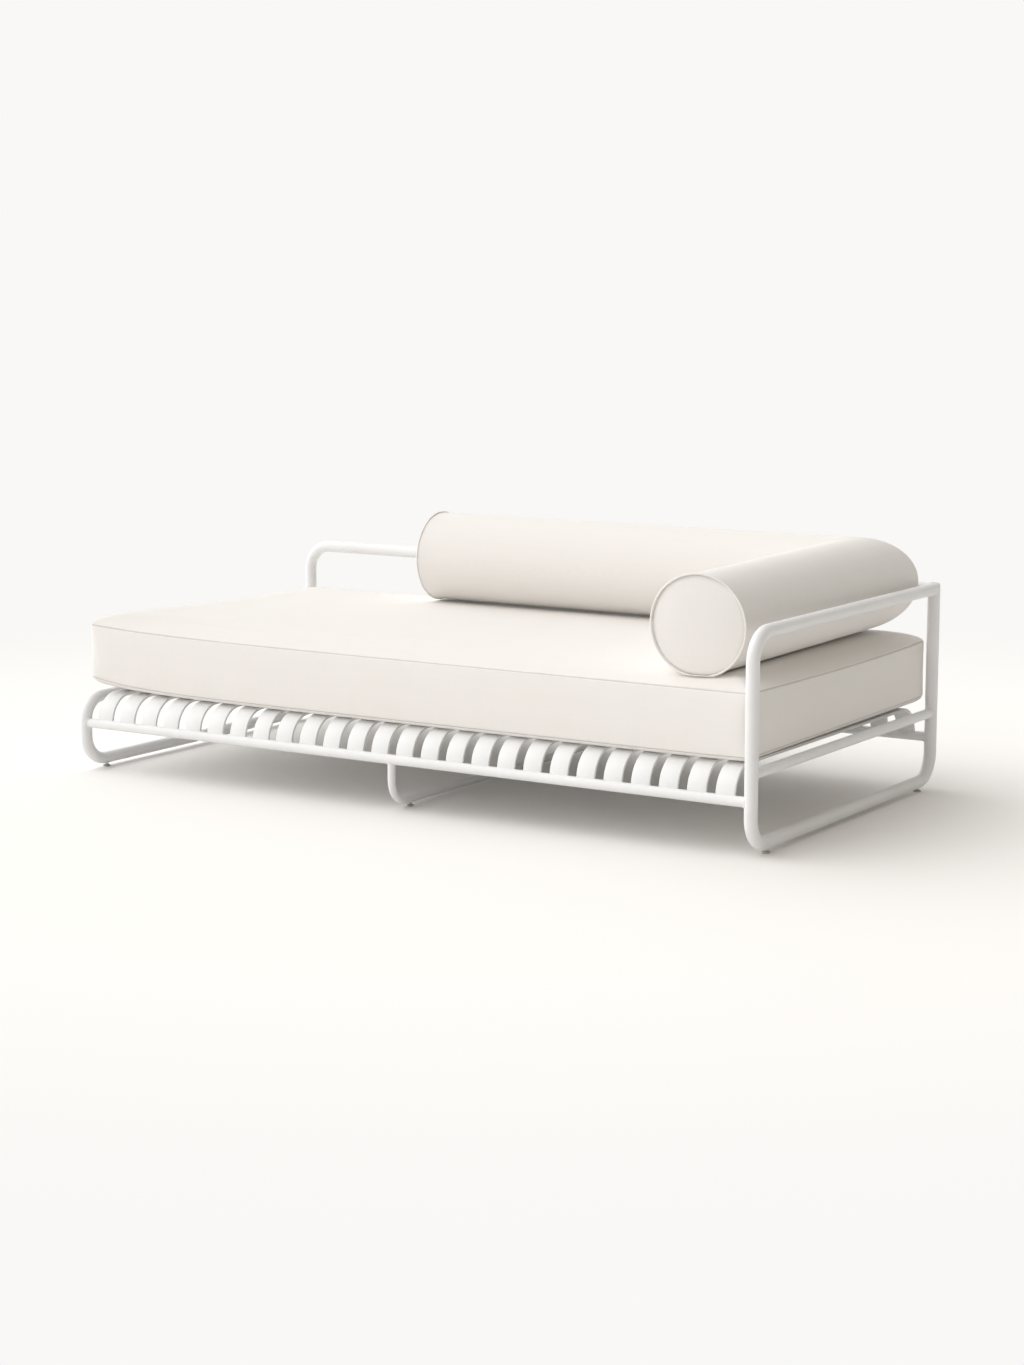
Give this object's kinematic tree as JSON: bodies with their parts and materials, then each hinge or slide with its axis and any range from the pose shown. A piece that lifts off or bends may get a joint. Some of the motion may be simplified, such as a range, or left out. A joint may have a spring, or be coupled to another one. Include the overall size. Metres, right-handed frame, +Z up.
{
  "type": "daybed",
  "caption": "Outdoor daybed: bent white tube frame with a slatted deck on sled legs, a boxed mattress and an L-shaped bolster round the back corner.",
  "frame": {"origin": "on the floor, below the middle of the daybed", "axes": "+X to the end with the raised hoop, +Y to the back rail, +Z up"},
  "size_m": [2.032, 1.041, 0.658],
  "materials": {
    "powder_coat": "satin white powder coat over aluminium tube and flat strip, fine even texture",
    "cover_fabric": "matte off-white plain weave with a fine uneven yarn",
    "foam": "open-cell foam, hidden inside the cover",
    "bolster_fibre": "white fibre and foam filling, hidden inside the cover",
    "zip_tape": "woven tape with a moulded coil, off-white",
    "foot_nylon": "grey nylon",
    "plated_steel": "zinc-plated steel"
  },
  "bodies": {
    "frame": {"right_end_hoop": "powder_coat", "left_end_loop": "powder_coat", "back_rail": "powder_coat", "front_rail": "powder_coat", "rear_rail": "powder_coat", "right_side_rail": "powder_coat", "middle_leg": "powder_coat", "slat_01": "powder_coat", "slat_02": "powder_coat", "slat_03": "powder_coat", "slat_04": "powder_coat", "slat_05": "powder_coat", "slat_06": "powder_coat", "slat_07": "powder_coat", "slat_08": "powder_coat", "slat_09": "powder_coat", "slat_10": "powder_coat", "slat_11": "powder_coat", "slat_12": "powder_coat", "slat_13": "powder_coat", "slat_14": "powder_coat", "slat_15": "powder_coat", "slat_16": "powder_coat", "slat_17": "powder_coat", "slat_18": "powder_coat", "slat_19": "powder_coat", "slat_20": "powder_coat", "slat_21": "powder_coat", "slat_22": "powder_coat", "slat_23": "powder_coat", "slat_24": "powder_coat", "slat_25": "powder_coat", "slat_26": "powder_coat", "foot_left_front": "foot_nylon", "foot_left_rear": "foot_nylon", "foot_middle_front": "foot_nylon", "foot_middle_rear": "foot_nylon", "foot_right_front": "foot_nylon", "foot_right_rear": "foot_nylon", "rivet_nut_left_front": "plated_steel", "rivet_nut_left_rear": "plated_steel", "rivet_nut_middle_front": "plated_steel", "rivet_nut_middle_rear": "plated_steel", "rivet_nut_right_front": "plated_steel", "rivet_nut_right_rear": "plated_steel"},
    "mattress": {"mattress_cover": "cover_fabric", "mattress_foam": "foam", "mattress_zip": "zip_tape"},
    "mattress_slider": {"mattress_zip_slider": "plated_steel"},
    "bolster": {"bolster_cover": "cover_fabric", "bolster_filling": "bolster_fibre", "bolster_zip": "zip_tape"},
    "bolster_slider": {"bolster_zip_slider": "plated_steel"}
  },
  "joints": [
    {"name": "mattress_lift", "type": "slide", "parent": "frame", "child": "mattress", "axis": [0, -0.2873, 0.9578], "range_m": [0, 0.4]},
    {"name": "bolster_lift", "type": "slide", "parent": "mattress", "child": "bolster", "axis": [0, 0, 1], "range_m": [0, 0.4]},
    {"name": "mattress_zip_slide", "type": "slide", "parent": "mattress", "child": "mattress_slider", "axis": [1, 0, 0], "range_m": [0, 1.67]},
    {"name": "bolster_zip_slide", "type": "slide", "parent": "bolster", "child": "bolster_slider", "axis": [1, 0, 0], "range_m": [0, 0.9]}
  ]
}
